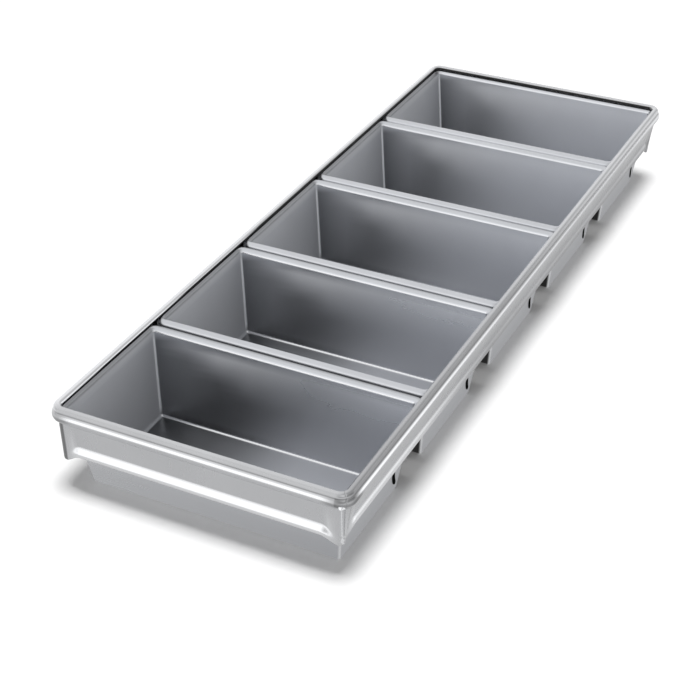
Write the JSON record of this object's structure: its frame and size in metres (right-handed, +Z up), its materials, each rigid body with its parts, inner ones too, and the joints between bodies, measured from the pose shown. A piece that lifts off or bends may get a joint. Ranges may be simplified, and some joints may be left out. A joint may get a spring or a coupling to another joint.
{
  "type": "strapped bread pan",
  "caption": "Tapered sheet-metal loaf pans with rolled rims, set side by side and held in one rounded-corner metal strap for batch baking.",
  "frame": {"origin": "middle of the set on the plane that the pans stand on", "axes": "+X along each loaf, +Y along the strap with the welded corner at -Y, +Z up"},
  "size_m": [0.2494, 0.6912, 0.0778],
  "materials": {
    "pan_sheet": "bare coated steel sheet, satin",
    "rim_wire": "plain drawn wire",
    "strap_sheet": "bare coated steel sheet, satin",
    "weld": "as welded"
  },
  "bodies": {
    "root": {"pan_1_shell": "pan_sheet", "pan_2_shell": "pan_sheet", "pan_3_shell": "pan_sheet", "pan_4_shell": "pan_sheet", "pan_5_shell": "pan_sheet", "pan_1_rim_wire": "rim_wire", "pan_2_rim_wire": "rim_wire", "pan_3_rim_wire": "rim_wire", "pan_4_rim_wire": "rim_wire", "pan_5_rim_wire": "rim_wire", "strap_band": "strap_sheet", "strap_corner_weld": "weld"}
  },
  "joints": []
}
